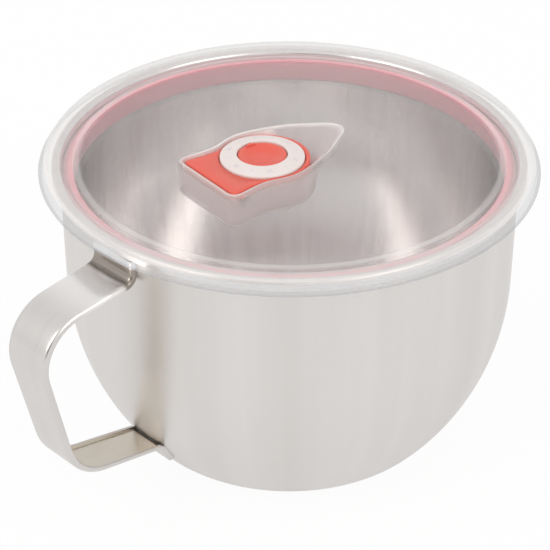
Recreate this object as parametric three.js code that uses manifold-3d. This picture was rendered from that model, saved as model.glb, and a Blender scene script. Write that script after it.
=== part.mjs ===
// Lidded steel noodle bowl with a pressed strip handle and a clear push-on lid.
// The lid has a red seal and a sunken leaf-shaped vent with a hinged flap and a date dial.
// Millimetres, +Z up, origin at the centre of the base, handle along -X.
import * as THREE from 'three';
import { mergeVertices } from 'three/addons/utils/BufferGeometryUtils.js';
import Module from 'manifold-3d';

const wasm = await Module();
wasm.setup();

// General
const turnSteps = 48; // facets in a full turn of the bowl and lid
const dialSteps = 36;
const smallSteps = 24;
const bendSteps = 7; // facets in each bend of the handle
const fitGap = 0.3; // between pieces that seat on each other
const degree = Math.PI / 180;

// Bowl: one drawn sheet with a turned-over rim
const sheet = 0.7;
const wallRadius = 75.4;
const bowlHeight = 102.85;
const sideArcRadius = 87;
const sideTurn = 39.4 * degree; // how far the side arc leans in before the base corner
const baseCorner = 14;
const rimBend = 1.3;
const rimLip = 2;

// Handle: a strip with rounded-over edges, bent to an ear and welded at two tabs
const strip = 1;
const stripEdgeRadius = 1.4;
const stripDepth = 1.9; // edge of the turned-in lips below the outer face
const tabDepth = 1.5;
const upperWidth = 19.2;
const lowerWidth = 15;
const upperArmZ = 91.35;
const elbowReach = 40.3; // upper elbow, out from the wall
const elbowZ = 87.2;
const lowerElbowReach = 27.15;
const lowerElbowZ = 29.3;
const lowerArmZ = 19.3;
const elbowBend = 16.4;
const lowerElbowBend = 18.8;
const tabBend = 2.6;
const lowerTabLength = 8;
const rimTabGap = 1.2; // the upper tab stops this far below the turned rim
const tabEndNarrowing = 2.6; // each tab loses this much width at its clipped end

// Seal: a ring round the lid's plug wall, with fins against the bowl's wall
const sealGap = 0.4;
const sealWidth = 3.4;
const sealHeight = 7.4;
const finCount = 3;
const finDepth = 1.3;

// Lid: moulded shell
const lidWall = 1.25;
const skirtGap = 0.4;
const skirtFlare = 2.9;
const skirtDrop = 3.85;
const plateSink = 2.2; // edge of the plate below the top of the rim band
const plateCrown = 3.4; // rise of the plate's centre
const ridgeRise = 0.5;
const ridgeWidth = 3.6;
const footReach = 1.5; // foot that keeps the seal on the plug wall
const footHeight = 0.8;
const lidTurn = -6.7 * degree; // how the lid happens to be turned on the bowl

// Date dial
const dialAt = -11.2; // dial centre along the leaf's axis, from the lid's axis
const dialRadius = 13.9;
const dialBore = 8.3;
const dialProud = 1.2; // dial's outer edge above the flap
const dialRise = 1.1; // its face climbs this much towards the bore
const dialLedge = 1.5;
const dialLedgeHeight = 0.7;
const dialSeatDepth = 1;
const dialEdge = 0.4;

// Vent pocket: a leaf outline with a straight end, a waist and a pointed finger scoop
const pocketDepth = 11.8;
const leafTip = 21.3;
const scoopFloorTip = 11.5; // where the scoop's slope reaches the floor
const shoulderHalf = 14.7;
const shoulderCorner = 3;
const waistHalf = 13.8;
const waistBack = 9.4; // narrowest place, behind the dial's centre
const bulgeAhead = 2; // widest place, ahead of the dial's centre
const flankBelly = 0.8; // how far the sides towards the tip bow out
const backMargin = 9; // straight end to the dial
const tipHalf = 5.6;
const tipLength = 5.2;
const tipRound = 3; // half-width where the tip turns blunt
const pocketDraft = 0.4;
const lipDrop = 0.8;
const lipFlare = 0.7;
const ventHole = 3.4;

// Vent flap
const flapGap = 1.2;
const bulgeGap = 0.9; // beside the flap's round end
const flapMargin = 1.1; // flap past the dial's sides
const flapAhead = 0.9; // its round end is set this far ahead of the dial
const flapSink = 1.6; // flap's top below the plate
const flapPlate = 2.2;
const flapDepth = 4;
const flapSkirt = 1.2;
const hingeInset = 4.2; // hinge axis to the leaf's straight end
const hingeDrop = 1.5; // hinge axis below the flap's top
const pinRadius = 0.9;
const pinReach = 0.7; // hinge pin's end past the pocket's side
const pinBossRadius = 1.8;
const pinBossWall = 0.9; // boss past the end of the pin's socket

// Pointer hub and vent plug
const hubRise = 1.3; // hub's rim above the flap
const hubDish = 1.1;
const hubRimWidth = 1.4;
const stemRadius = 2;
const pointerHalf = 2;
const pointerRise = 0.8; // pointer above the hub's rim
const pointerTurn = 86.6 * degree;
const plugBody = 4.5;
const plugFlange = 6.5;
const plugFlangeHeight = 1.6;
const noseTop = 2.9;
const noseTip = 1.6;
const noseLength = 1.9;

// Levels and radii that follow from the sizes above
const straightZ = sideArcRadius * Math.sin(sideTurn) + baseCorner * (1 - Math.sin(sideTurn));
const wallInner = wallRadius - sheet;
const rimOuter = wallRadius + 2 * rimBend;
const sealOuter = wallInner - sealGap;
const sealInner = sealOuter - sealWidth;
const plugOuter = sealInner - fitGap;
const plugInner = plugOuter - lidWall;
const bandZ = bowlHeight + fitGap + lidWall;
const foldRadius = rimOuter + skirtGap + lidWall;
const grooveRadius = (sealInner + sealOuter) / 2;
const grooveZ = bandZ - plateSink;
const plateRadius = (plugInner + plugOuter) / 2 - ridgeWidth / 2;
const sealTop = grooveZ - lidWall - fitGap;
const sealBottom = sealTop - sealHeight;
const plateTop = (radius) => bandZ - plateSink + plateCrown * (1 - (radius / plateRadius) ** 2);
const ventZ = plateTop(Math.abs(dialAt));
const floorZ = ventZ - pocketDepth;
const flapTop = ventZ - flapSink;
const leafBack = dialRadius + backMargin - dialAt;
const bulgeHalf = dialRadius + flapMargin + bulgeGap;
const hingeAt = -leafBack + hingeInset;
const hingeZ = flapTop - hingeDrop;
const pinEnd = shoulderHalf + pinReach;

// Keeps only positions, joins shared vertices, drops collapsed triangles and turns faces outwards
function closedGeometry(source) {
  const bare = source.clone();
  bare.deleteAttribute('normal');
  bare.deleteAttribute('uv');
  const merged = mergeVertices(bare, 1e-4);
  const position = merged.getAttribute('position');
  const corners = [new THREE.Vector3(), new THREE.Vector3(), new THREE.Vector3()];
  const kept = [];
  let volume = 0;
  for (let i = 0; i < merged.index.count; i += 3) {
    const triangle = [0, 1, 2].map((k) => merged.index.getX(i + k));
    if (new Set(triangle).size < 3) continue;
    triangle.forEach((vertex, k) => corners[k].fromBufferAttribute(position, vertex));
    volume += corners[0].dot(corners[1].clone().cross(corners[2]));
    kept.push(triangle);
  }
  const index = kept.flatMap(([a, b, c]) => (volume < 0 ? [a, c, b] : [a, b, c]));
  merged.setIndex(index);
  return merged;
}

function solidFrom(geometry) {
  const closed = closedGeometry(geometry);
  const mesh = new wasm.Mesh({
    numProp: 3,
    vertProperties: new Float32Array(closed.getAttribute('position').array),
    triVerts: new Uint32Array(closed.index.array),
  });
  mesh.merge();
  return new wasm.Manifold(mesh);
}

function geometryFrom(solid) {
  const mesh = solid.getMesh();
  const geometry = new THREE.BufferGeometry();
  geometry.setAttribute('position', new THREE.BufferAttribute(new Float32Array(mesh.vertProperties), 3));
  geometry.setIndex(new THREE.BufferAttribute(new Uint32Array(mesh.triVerts), 1));
  return geometry;
}

// Turns a profile of [radius, height] points about Z
function revolve(profile, steps = turnSteps) {
  const points = profile.map(([radius, height]) => new THREE.Vector2(radius, height));
  return new THREE.LatheGeometry(points, steps).rotateX(Math.PI / 2);
}

const ring = (profile, steps) => revolve([...profile, profile[0]], steps);

// Prism of an outline of [x, y] points between two heights
function prism(outline, bottom, top) {
  const shape = new THREE.Shape(outline.map(([x, y]) => new THREE.Vector2(x, y)));
  return new THREE.ExtrudeGeometry(shape, { depth: top - bottom, bevelEnabled: false }).translate(0, 0, bottom);
}

// Cylinder lying along Y, centred on the leaf's axis
function crossPin(radius, length, x, z) {
  return new THREE.CylinderGeometry(radius, radius, length, smallSteps).translate(x, 0, z);
}

// Skin through rings of equal point counts, with its two ends capped by flat outlines
function loft(rings, firstCap, lastCap) {
  const count = rings[0].length;
  const index = [];
  for (let r = 0; r + 1 < rings.length; r += 1) {
    for (let k = 0; k < count; k += 1) {
      const a = r * count + k;
      const b = r * count + ((k + 1) % count);
      index.push(a, b, b + count, a, b + count, a + count);
    }
  }
  const capTriangles = (outline) => {
    const contour = outline.map(([x, y]) => new THREE.Vector2(x, y));
    const turned = THREE.ShapeUtils.isClockWise(contour);
    const triangles = THREE.ShapeUtils.triangulateShape(contour, []);
    return turned ? triangles.map(([a, b, c]) => [a, c, b]) : triangles;
  };
  const last = (rings.length - 1) * count;
  capTriangles(firstCap).forEach(([a, b, c]) => index.push(a, c, b));
  capTriangles(lastCap).forEach(([a, b, c]) => index.push(last + a, last + b, last + c));
  const geometry = new THREE.BufferGeometry();
  geometry.setAttribute('position', new THREE.Float32BufferAttribute(rings.flat(2), 3));
  geometry.setIndex(index);
  return geometry;
}

// Points on an arc, from one angle to another, ends included
function arc(centre, radius, from, to, steps) {
  return Array.from({ length: steps + 1 }, (_, k) => {
    const angle = from + ((to - from) * k) / steps;
    return [centre[0] + radius * Math.cos(angle), centre[1] + radius * Math.sin(angle)];
  });
}

// Polyline whose inner corners are rounded by the given radii
function roundedLine(points, radii, steps) {
  const line = [points[0]];
  for (let i = 1; i + 1 < points.length; i += 1) {
    const corner = new THREE.Vector2(...points[i]);
    const back = new THREE.Vector2(...points[i - 1]).sub(corner).normalize();
    const ahead = new THREE.Vector2(...points[i + 1]).sub(corner).normalize();
    const half = Math.acos(THREE.MathUtils.clamp(back.dot(ahead), -1, 1)) / 2;
    const radius = radii[i - 1];
    const middle = back.clone().add(ahead).normalize().multiplyScalar(radius / Math.sin(half)).add(corner);
    const start = back.multiplyScalar(radius / Math.tan(half)).add(corner).sub(middle);
    const end = ahead.multiplyScalar(radius / Math.tan(half)).add(corner).sub(middle);
    const from = start.angle();
    const sweep = Math.atan2(start.cross(end), start.dot(end));
    line.push(...arc([middle.x, middle.y], radius, from, from + sweep, steps));
  }
  line.push(points[points.length - 1]);
  return line;
}

// Moves each point of a line sideways; positive is to the right of the line's direction
function offsetLine(line, distance, closed = false) {
  const count = line.length;
  return line.map(([x, y], k) => {
    const before = line[closed ? (k + count - 1) % count : Math.max(k - 1, 0)];
    const after = line[closed ? (k + 1) % count : Math.min(k + 1, count - 1)];
    const incoming = new THREE.Vector2(x - before[0], y - before[1]).normalize();
    const outgoing = new THREE.Vector2(after[0] - x, after[1] - y).normalize();
    const along = incoming.clone().add(outgoing).normalize();
    const stretch = distance / Math.max(along.dot(outgoing.lengthSq() ? outgoing : incoming), 0.5);
    return [x + along.y * stretch, y - along.x * stretch];
  });
}

// Bowl: the middle line of the sheet from the base's centre to the lip of the rim, thickened both ways
function bowlGeometry() {
  const half = sheet / 2;
  const sideCentre = [wallRadius - sideArcRadius, straightZ];
  const cornerCentre = [
    sideCentre[0] + (sideArcRadius - baseCorner) * Math.cos(sideTurn),
    baseCorner,
  ];
  const rimCentre = [wallRadius - half + rimBend, bowlHeight - half - rimBend];
  const middle = [
    [0, half],
    ...arc(cornerCentre, baseCorner - half, -Math.PI / 2, -sideTurn, 5),
    ...arc(sideCentre, sideArcRadius - half, -sideTurn, 0, 7).slice(1),
    ...arc(rimCentre, rimBend, Math.PI, 0, 6),
    [rimCentre[0] + rimBend, rimCentre[1] - rimLip],
  ];
  const outside = offsetLine(middle, half);
  const inside = offsetLine(middle, -half);
  outside[0] = [0, 0];
  inside[0] = [0, sheet];
  return closedGeometry(revolve([...outside, ...inside.reverse()]));
}

// Section of the handle's strip: across its width, and in from its outer face
function stripSection(width, depth) {
  const side = width / 2;
  const innerRadius = stripEdgeRadius - strip;
  const outerCorner = arc([side - stripEdgeRadius, stripEdgeRadius], stripEdgeRadius, -Math.PI / 2, 0, 3);
  const innerCorner = arc([side - stripEdgeRadius, stripEdgeRadius], innerRadius, 0, -Math.PI / 2, 2);
  const right = [...outerCorner, [side, depth], [side - strip, depth], ...innerCorner];
  const left = right.map(([across, inward]) => [-across, inward]).reverse();
  return [...right, ...left];
}

// Handle: the strip follows a line in the plane through the bowl's axis
function handleGeometry() {
  const seat = fitGap + strip;
  const rimLipZ = bowlHeight - sheet / 2 - rimBend - rimLip;
  const sideCentre = [wallRadius - sideArcRadius, straightZ];
  const tabRadius = sideArcRadius + seat;
  const armAngle = -Math.asin((straightZ - lowerArmZ) / tabRadius);
  const tabSpan = lowerTabLength / tabRadius;
  const [lowerCorner, , lowerEnd] = arc(sideCentre, tabRadius, armAngle, armAngle - tabSpan, 2);
  const line = roundedLine(
    [
      [wallRadius + seat, rimLipZ - rimTabGap],
      [wallRadius + seat, upperArmZ],
      [wallRadius + elbowReach, elbowZ],
      [wallRadius + lowerElbowReach, lowerElbowZ],
      lowerCorner,
      lowerEnd,
    ],
    [tabBend, elbowBend, lowerElbowBend, tabBend],
    bendSteps,
  );
  const lengths = [0];
  for (let k = 1; k < line.length; k += 1) {
    lengths.push(lengths[k - 1] + Math.hypot(line[k][0] - line[k - 1][0], line[k][1] - line[k - 1][1]));
  }
  const total = lengths[lengths.length - 1];
  const lastStation = line.length - 1;
  const rings = [];
  const sections = [];
  line.forEach((point, k) => {
    const atEnd = k === 0 || k === lastStation;
    const onTab = Math.min(k, lastStation - k) <= bendSteps / 2;
    const plainWidth = THREE.MathUtils.lerp(upperWidth, lowerWidth, lengths[k] / total);
    const section = stripSection(plainWidth - (atEnd ? tabEndNarrowing : 0), onTab ? tabDepth : stripDepth);
    sections.push(section);
    const before = line[Math.max(k - 1, 0)];
    const after = line[Math.min(k + 1, lastStation)];
    const along = new THREE.Vector2(after[0] - before[0], after[1] - before[1]).normalize();
    rings.push(section.map(([across, inward]) => [
      -(point[0] + along.y * inward),
      across,
      point[1] - along.x * inward,
    ]));
  });
  return closedGeometry(loft(rings, sections[0], sections[lastStation]));
}

// Seal: body round the plug wall, with fins that lean on the bowl
function sealGeometry() {
  const bodyOuter = sealOuter - finDepth;
  const finPitch = sealHeight / finCount;
  const fins = Array.from({ length: finCount }, (_, k) => {
    const root = sealBottom + finPitch * k;
    return [
      [bodyOuter, root],
      [sealOuter, root + finPitch * 0.4],
      [sealOuter, root + finPitch * 0.6],
      [bodyOuter, root + finPitch * 0.8],
    ];
  }).flat();
  return closedGeometry(ring([
    [sealInner, sealBottom],
    ...fins,
    [bodyOuter, sealTop],
    [sealInner, sealTop],
  ]));
}

// One side of the leaf from the straight end's middle to the tip, then mirrored
function leafOutline() {
  const bulgeAt = dialAt + bulgeAhead;
  const path = new THREE.Path();
  path.moveTo(-leafBack, 0);
  path.lineTo(-leafBack, shoulderHalf - shoulderCorner);
  path.quadraticCurveTo(-leafBack, shoulderHalf, -leafBack + shoulderCorner, shoulderHalf);
  path.splineThru([
    new THREE.Vector2(dialAt - waistBack, waistHalf),
    new THREE.Vector2(bulgeAt, bulgeHalf),
    new THREE.Vector2((bulgeAt + leafTip) / 2, (bulgeHalf + tipHalf) / 2 + flankBelly),
    new THREE.Vector2(leafTip - tipLength, tipHalf),
  ]);
  path.quadraticCurveTo(leafTip, tipRound, leafTip, 0);
  const half = path.getPoints(4).map((point) => [point.x, point.y]);
  const mirrored = half.slice(1, -1).map(([x, y]) => [x, -y]).reverse();
  return [...half, ...mirrored].reverse();
}

// Floor of the pocket: the scoop's end is drawn back and the sides lean in
function floorOutline(leaf, outset) {
  const from = dialAt;
  const share = (scoopFloorTip - from) / (leafTip - from);
  const pulled = leaf.map(([x, y]) => [x > from ? from + (x - from) * share : x, y]);
  return offsetLine(pulled, outset - pocketDraft, true);
}

const levelRing = (outline, height) => outline.map(([x, y]) => [x, y, height]);

function lidGeometry() {
  const grooveWall = lidWall / 2;
  const ridgeCentre = (plugInner + plugOuter) / 2;
  const plateRadii = [0.25, 0.5, 0.75, 1].map((share) => share * plateRadius);
  const skirtBottom = bandZ - skirtDrop;
  const footBottom = sealBottom - fitGap - footHeight;
  const bandStart = wallInner + sealGap;
  const shell = revolve([
    [0, plateTop(0)],
    ...plateRadii.map((radius) => [radius, plateTop(radius)]),
    [ridgeCentre - ridgeWidth / 4, grooveZ + ridgeRise * 0.8],
    [ridgeCentre, grooveZ + ridgeRise],
    [ridgeCentre + ridgeWidth / 4, grooveZ + ridgeRise * 0.8],
    [grooveRadius, grooveZ],
    [bandStart - grooveWall, bandZ - plateSink * 0.3],
    [bandStart + grooveWall, bandZ],
    [foldRadius, bandZ],
    [foldRadius + skirtFlare, skirtBottom],
    [foldRadius + skirtFlare - lidWall, skirtBottom],
    [foldRadius - lidWall, bandZ - lidWall],
    [bandStart + lidWall, bandZ - lidWall],
    [bandStart, bandZ - lidWall - plateSink * 0.3],
    [grooveRadius + grooveWall, grooveZ - lidWall],
    [plugOuter, grooveZ - lidWall],
    [plugOuter, sealBottom - fitGap],
    [plugOuter + footReach, sealBottom - fitGap],
    [plugOuter + footReach, sealBottom - fitGap - footHeight / 2],
    [plugOuter + footReach / 2, footBottom],
    [plugInner, footBottom],
    [plugInner, grooveZ - lidWall],
    ...plateRadii.map((radius) => [radius, plateTop(radius) - lidWall]).reverse(),
    [0, plateTop(0) - lidWall],
  ]);
  const leaf = leafOutline();
  const outerLeaf = offsetLine(leaf, lidWall, true);
  const outerFloor = floorOutline(leaf, lidWall);
  const cupTop = plateTop(0) - lidWall + fitGap;
  const cup = loft(
    [levelRing(outerFloor, floorZ - lidWall), levelRing(outerLeaf, cupTop)],
    outerFloor,
    outerLeaf,
  );
  const innerFloor = floorOutline(leaf, 0);
  const lip = offsetLine(leaf, lipFlare, true);
  const hollow = loft(
    [
      levelRing(innerFloor, floorZ),
      levelRing(leaf, plateTop(leafBack) - lipDrop),
      levelRing(lip, plateTop(0) + fitGap),
    ],
    innerFloor,
    lip,
  );
  const hole = new THREE.CylinderGeometry(ventHole, ventHole, pocketDepth, smallSteps)
    .rotateX(Math.PI / 2)
    .translate(dialAt, 0, floorZ);
  const socketEnd = pinEnd + fitGap;
  const boss = crossPin(pinBossRadius, 2 * (socketEnd + pinBossWall), hingeAt, hingeZ);
  const socket = crossPin(pinRadius + fitGap, 2 * socketEnd, hingeAt, hingeZ);
  const lid = solidFrom(shell)
    .add(solidFrom(cup))
    .add(solidFrom(boss))
    .subtract(solidFrom(hollow))
    .subtract(solidFrom(socket))
    .subtract(solidFrom(hole));
  return geometryFrom(lid);
}

function flapGeometry() {
  const inset = offsetLine(leafOutline(), -flapGap, true);
  const endArc = arc([dialAt + flapAhead, 0], dialRadius + flapMargin, -Math.PI / 2, Math.PI / 2, smallSteps);
  const sides = inset.filter(([x]) => x < dialAt - flapMargin);
  const upper = sides.filter(([, y]) => y >= 0);
  const lower = sides.filter(([, y]) => y < 0);
  const outline = [...endArc, ...upper, ...lower];
  const inner = offsetLine(outline, -flapSkirt, true);
  const seatOuter = dialRadius + fitGap;
  const seatInner = dialBore - dialLedge - fitGap;
  const dialSeat = ring([
    [seatInner, flapTop - dialSeatDepth],
    [seatOuter, flapTop - dialSeatDepth],
    [seatOuter, flapTop + dialSeatDepth],
    [seatInner, flapTop + dialSeatDepth],
  ], dialSteps).translate(dialAt, 0, 0);
  const stemHole = new THREE.CylinderGeometry(stemRadius + fitGap, stemRadius + fitGap, 4 * flapPlate, smallSteps)
    .rotateX(Math.PI / 2)
    .translate(dialAt, 0, flapTop);
  return geometryFrom(
    solidFrom(prism(outline, flapTop - flapDepth, flapTop))
      .subtract(solidFrom(prism(inner, flapTop - 2 * flapDepth, flapTop - flapPlate)))
      .add(solidFrom(crossPin(pinRadius, 2 * pinEnd, hingeAt, hingeZ)))
      .subtract(solidFrom(dialSeat))
      .subtract(solidFrom(stemHole)),
  );
}

function dialGeometry() {
  const bottom = flapTop - dialSeatDepth + fitGap;
  const top = flapTop + dialProud;
  const ledge = dialBore - dialLedge;
  return closedGeometry(ring([
    [ledge, bottom],
    [dialRadius, bottom],
    [dialRadius, top - dialEdge],
    [dialRadius - dialEdge, top],
    [dialBore + dialEdge, top + dialRise],
    [dialBore, top + dialRise - dialEdge],
    [dialBore, bottom + dialLedgeHeight],
    [ledge, bottom + dialLedgeHeight],
  ], dialSteps).translate(dialAt, 0, 0));
}

function hubGeometry() {
  const radius = dialBore - fitGap;
  const bottom = flapTop + fitGap;
  const top = flapTop + hubRise;
  const stemEnd = floorZ + fitGap + plugFlangeHeight;
  const body = revolve([
    [0, stemEnd + fitGap],
    [stemRadius, stemEnd + fitGap],
    [stemRadius, bottom],
    [radius, bottom],
    [radius, top - hubRimWidth / 4],
    [radius - hubRimWidth / 4, top],
    [radius - hubRimWidth, top],
    [radius / 2, top - hubDish * 0.8],
    [0, top - hubDish],
  ], smallSteps);
  const inside = radius - hubRimWidth;
  const pointer = prism(
    [[inside, -pointerHalf], [radius, 0], [inside, pointerHalf]],
    bottom + fitGap,
    top + pointerRise,
  ).rotateZ(pointerTurn);
  return geometryFrom(solidFrom(body).add(solidFrom(pointer)).translate([dialAt, 0, 0]));
}

function plugGeometry() {
  const bottom = floorZ + fitGap;
  const flangeTop = bottom + plugFlangeHeight;
  const top = flapTop - flapPlate - fitGap;
  const socket = stemRadius + fitGap;
  return closedGeometry(revolve([
    [0, bottom - noseLength],
    [noseTip, bottom - noseLength],
    [noseTop, bottom],
    [plugFlange, bottom],
    [plugFlange, flangeTop - plugFlangeHeight / 2],
    [plugBody, flangeTop],
    [plugBody, top],
    [socket, top],
    [socket, flangeTop],
    [0, flangeTop],
  ], smallSteps).translate(dialAt, 0, 0));
}

function piece(name, geometry, color, roughness, metalness, extra = {}) {
  const material = new THREE.MeshStandardMaterial({ color, roughness, metalness, ...extra });
  const mesh = new THREE.Mesh(geometry, material);
  mesh.name = name;
  return mesh;
}

const clear = { transparent: true, opacity: 0.35 };
const lid = new THREE.Group();
lid.rotation.z = lidTurn;
lid.add(
  piece('lid_shell', lidGeometry(), 0xeceaec, 0.2, 0, clear),
  piece('lid_seal', sealGeometry(), 0xe2564f, 0.5, 0),
  piece('vent_flap', flapGeometry(), 0xe9503f, 0.4, 0),
  piece('date_ring', dialGeometry(), 0xf4efef, 0.4, 0),
  piece('pointer_hub', hubGeometry(), 0xe6493b, 0.4, 0),
  piece('vent_plug', plugGeometry(), 0xd84a40, 0.6, 0),
);

const noodleBowl = new THREE.Group();
noodleBowl.add(
  piece('bowl', bowlGeometry(), 0xcfc9c5, 0.3, 1),
  piece('handle', handleGeometry(), 0xd3cecb, 0.22, 1),
  lid,
);

export default noodleBowl;
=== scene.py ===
import math

import bmesh
import bpy
from mathutils import Matrix, Vector
from mathutils.geometry import interpolate_bezier


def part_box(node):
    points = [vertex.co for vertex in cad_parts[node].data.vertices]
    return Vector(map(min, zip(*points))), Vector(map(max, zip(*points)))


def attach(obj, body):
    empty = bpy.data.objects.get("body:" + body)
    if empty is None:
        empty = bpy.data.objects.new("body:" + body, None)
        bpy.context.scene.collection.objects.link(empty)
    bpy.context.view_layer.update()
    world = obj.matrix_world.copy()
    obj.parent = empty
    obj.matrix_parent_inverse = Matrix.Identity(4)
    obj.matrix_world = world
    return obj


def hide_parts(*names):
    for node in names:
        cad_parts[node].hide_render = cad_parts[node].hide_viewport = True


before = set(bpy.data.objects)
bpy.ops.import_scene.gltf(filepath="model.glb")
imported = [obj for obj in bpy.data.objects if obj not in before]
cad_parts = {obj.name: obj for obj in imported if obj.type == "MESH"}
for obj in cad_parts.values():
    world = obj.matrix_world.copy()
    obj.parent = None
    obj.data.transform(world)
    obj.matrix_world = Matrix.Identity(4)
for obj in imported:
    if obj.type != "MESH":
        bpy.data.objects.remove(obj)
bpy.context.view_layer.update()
scene = bpy.context.scene
mm = 0.001  # sizes below are in mm, the scene is in metres
fitGap = 0.3  # between pieces that seat on each other
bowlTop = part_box("bowl")[1].z / mm
print("frame loaded, bowl", round(bowlTop, 2), "mm tall")


# drawing tools

class Pen:
    # draws a chain of edges in the XZ plane, to be turned or swept
    def __init__(self, shape, x, z):
        self.shape = shape
        self.tip = shape.verts.new((x * mm, 0, z * mm))

    def line(self, x, z, parts=1):
        start = self.tip.co.copy()
        end = Vector((x * mm, 0, z * mm))
        for part in range(1, parts + 1):
            made = bmesh.ops.extrude_vert_indiv(self.shape, verts=[self.tip])
            self.tip = made["verts"][0]
            self.tip.co = start.lerp(end, part / parts)
        return self

    def arc(self, x, z, degrees, parts):
        made = bmesh.ops.spin(
            self.shape, geom=[self.tip], cent=(x * mm, 0, z * mm), axis=(0, -1, 0),
            angle=math.radians(degrees), steps=parts, use_duplicate=False,
        )
        self.tip = next(item for item in made["geom_last"] if isinstance(item, bmesh.types.BMVert))
        return self

    def follow(self, corners, parts=5):  # a corner is (x, z) or (x, z, radius)
        path = [(self.tip.co.x / mm, self.tip.co.z / mm), *corners]
        for before, corner, after in zip(path, path[1:], path[2:]):
            if len(corner) == 2:
                self.line(*corner)
                continue
            start, centre, degrees = bendAt(before, corner, after)
            self.line(*start)
            self.arc(*centre, degrees, parts)
        return self.line(*path[-1][:2])


def bendAt(before, corner, after):
    at = Vector(corner[:2])
    back = (Vector(before[:2]) - at).normalized()
    ahead = (Vector(after[:2]) - at).normalized()
    half = back.angle(ahead) / 2
    start = at + back * corner[2] / math.tan(half)
    centre = at + (back + ahead).normalized() * corner[2] / math.sin(half)
    side = 1 if ahead.cross(back) > 0 else -1
    return start, centre, side * math.degrees(math.pi - 2 * half)


def closeUp(shape):
    bmesh.ops.remove_doubles(shape, verts=shape.verts, dist=1e-6)
    bmesh.ops.recalc_face_normals(shape, faces=shape.faces)


def turnRound(shape, steps):
    bmesh.ops.spin(
        shape, geom=shape.verts[:] + shape.edges[:], cent=(0, 0, 0), axis=(0, 0, 1),
        angle=2 * math.pi, steps=steps, use_merge=True, use_duplicate=False,
    )
    closeUp(shape)


def raised(points, height):  # height is a number, or worked out from the point
    level = height if callable(height) else lambda point: height
    return [Vector((point.x, point.y, level(point))) * mm for point in points]


def pullEdges(shape, edges):  # extrudes a chain of edges, gives the new vertices and the new chain
    made = bmesh.ops.extrude_edge_only(shape, edges=edges)["geom"]
    fresh = {item for item in made if isinstance(item, bmesh.types.BMVert)}
    edges = [item for item in made if isinstance(item, bmesh.types.BMEdge)]
    return fresh, [edge for edge in edges if fresh.issuperset(edge.verts)]


def skin(shape, loops, layers=()):  # each loop is extruded from the one before and put on its own points
    ring = [shape.verts.new(place) for place in loops[0]]
    edges = [shape.edges.new(pair) for pair in zip(ring, ring[1:] + ring[:1])]
    for k, loop in enumerate(loops[1:], 1):
        fresh, edges = pullEdges(shape, edges)
        ring = [next(edge.other_vert(vert) for edge in vert.link_edges if edge.other_vert(vert) in fresh)
                for vert in ring]
        for vert, place in zip(ring, loop):
            vert.co = place
            for name, values in layers:
                vert[shape.verts.layers.float[name]] = values[k]


def circlePoints(radius, count, x=0):
    turns = [2 * math.pi * k / count for k in range(count)]
    return [Vector((x + radius * math.cos(t), radius * math.sin(t))) for t in turns]


def outset(points, distance):  # moves an anticlockwise outline outwards
    moved = []
    for k, point in enumerate(points):
        along = (points[(k + 1) % len(points)] - points[k - 1]).normalized()
        moved.append(point + Vector((along.y, -along.x)) * distance)
    return moved


def addPiece(name, shape, looks, body, node, sharp=40, steps=()):
    mesh = bpy.data.meshes.new(name)
    shape.to_mesh(mesh)
    shape.free()
    for look in looks:
        mesh.materials.append(look)
    piece = bpy.data.objects.new(name, mesh)
    scene.collection.objects.link(piece)
    for kind, settings in steps:  # modifiers, made real below
        step = piece.modifiers.new(kind.lower(), kind)
        for key, value in settings.items():
            setattr(step, key, value)
    if steps:
        bpy.context.view_layer.update()
        graph = bpy.context.evaluated_depsgraph_get()
        mesh = bpy.data.meshes.new_from_object(piece.evaluated_get(graph))
        mesh.name = name
        piece.modifiers.clear()
        piece.data = mesh
    mesh.shade_smooth()
    mesh.set_sharp_from_angle(angle=math.radians(sharp))
    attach(piece, body)
    if node:
        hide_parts(node)
    print(name, len(mesh.polygons), "faces")
    return piece


# shader tools

noiseRoughness = 0.55
streakBlur = 0.5  # noise roughness of the steel's streaks
noiseMiddle = 0.5  # noise varies about this
plainWhite = (1, 1, 1, 1)


def plug(tree, socket, value):
    if isinstance(value, Wire):
        tree.links.new(value.socket, socket)
    else:
        socket.default_value = value


class Wire:
    # a shader socket that takes part in Python sums
    def __init__(self, tree, socket):
        self.tree = tree
        self.socket = socket

    def math(self, operation, first, second):
        node = self.tree.nodes.new("ShaderNodeMath")
        node.operation = operation
        plug(self.tree, node.inputs[0], first)
        plug(self.tree, node.inputs[1], second)
        return Wire(self.tree, node.outputs[0])

    def __add__(self, other):
        return self.math("ADD", self, other)

    def __radd__(self, other):
        return self.math("ADD", other, self)

    def __sub__(self, other):
        return self.math("SUBTRACT", self, other)

    def __rsub__(self, other):
        return self.math("SUBTRACT", other, self)

    def __mul__(self, other):
        return self.math("MULTIPLY", self, other)

    def __rmul__(self, other):
        return self.math("MULTIPLY", other, self)

    def __pow__(self, other):
        return self.math("POWER", self, other)


class Finish:
    # a material, a world or a lamp as one node tree
    def __init__(self, owner):
        owner.use_nodes = True
        self.owner = owner
        self.tree = owner.node_tree
        self.tree.nodes.clear()

    def node(self, kind, settings, inputs, output=0):
        made = self.tree.nodes.new("ShaderNode" + kind)
        for name, value in settings.items():
            setattr(made, name, value)
        for name, value in inputs.items():
            plug(self.tree, made.inputs[name], value)
        return Wire(self.tree, made.outputs[output])

    def show(self, kind, surface):
        output = self.tree.nodes.new("ShaderNodeOutput" + kind)
        plug(self.tree, output.inputs["Surface"], surface)
        return self.owner


def newFinish(name):
    return Finish(bpy.data.materials.new(name))


def noise(finish, scale, detail):  # scale is one number, or one for each axis
    scales = scale if isinstance(scale, tuple) else (scale,) * 3
    place = finish.node("TexCoord", {}, {}, "Object")
    grid = finish.node("Mapping", {}, {"Vector": place, "Scale": scales})
    inputs = {"Vector": grid, "Scale": 1, "Detail": detail, "Roughness": noiseRoughness}
    return finish.node("TexNoise", {}, inputs, "Fac")


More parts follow.
